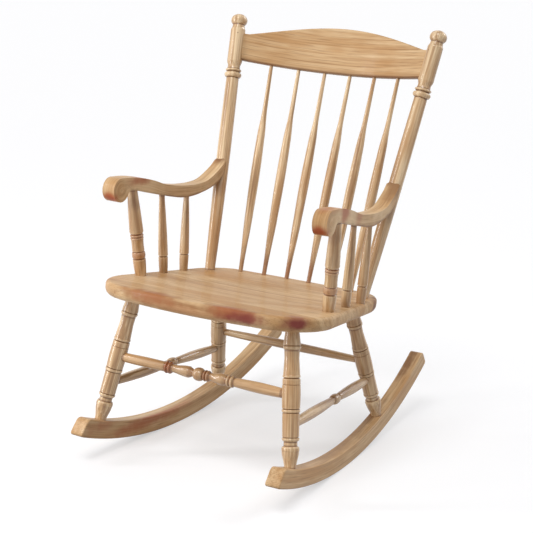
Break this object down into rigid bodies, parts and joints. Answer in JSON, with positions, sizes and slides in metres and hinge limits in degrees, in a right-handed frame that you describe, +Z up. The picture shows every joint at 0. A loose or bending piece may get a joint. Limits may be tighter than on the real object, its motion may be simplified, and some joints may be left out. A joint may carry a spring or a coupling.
{
  "type": "boston rocking chair",
  "caption": "Wooden rocking armchair with a tall spindle back, bent crest rail, scrolled arms, plank seat, turned legs and stretchers, and long curved rockers.",
  "frame": {"origin": "on the floor, at the bottom centre of the whole chair", "axes": "+Z up, the sitter faces -Y, +X is on the right when looking along +Y"},
  "size_m": [0.5954, 0.9, 1.0206],
  "materials": {
    "seat_wood": "satin lacquer over light tan hardwood, grain across the seat",
    "turned_wood": "satin lacquer over turned light tan hardwood, grain along each member",
    "board_wood": "satin lacquer over sawn and bent light tan hardwood, grain along each board"
  },
  "bodies": {
    "root": {"seat": "seat_wood", "leg_front_left": "turned_wood", "leg_front_right": "turned_wood", "leg_rear_left": "turned_wood", "leg_rear_right": "turned_wood", "stretcher_front": "turned_wood", "stretcher_rear": "turned_wood", "stretcher_side_left": "turned_wood", "stretcher_side_right": "turned_wood", "back_post_left": "turned_wood", "back_post_right": "turned_wood", "back_spindle_1": "turned_wood", "back_spindle_2": "turned_wood", "back_spindle_3": "turned_wood", "back_spindle_4": "turned_wood", "back_spindle_5": "turned_wood", "back_spindle_6": "turned_wood", "arm_post_left": "turned_wood", "arm_post_right": "turned_wood", "arm_spindle_front_left": "turned_wood", "arm_spindle_front_right": "turned_wood", "arm_spindle_rear_left": "turned_wood", "arm_spindle_rear_right": "turned_wood", "rocker_left": "board_wood", "rocker_right": "board_wood", "crest_rail": "board_wood", "arm_left": "board_wood", "arm_right": "board_wood"}
  },
  "joints": []
}
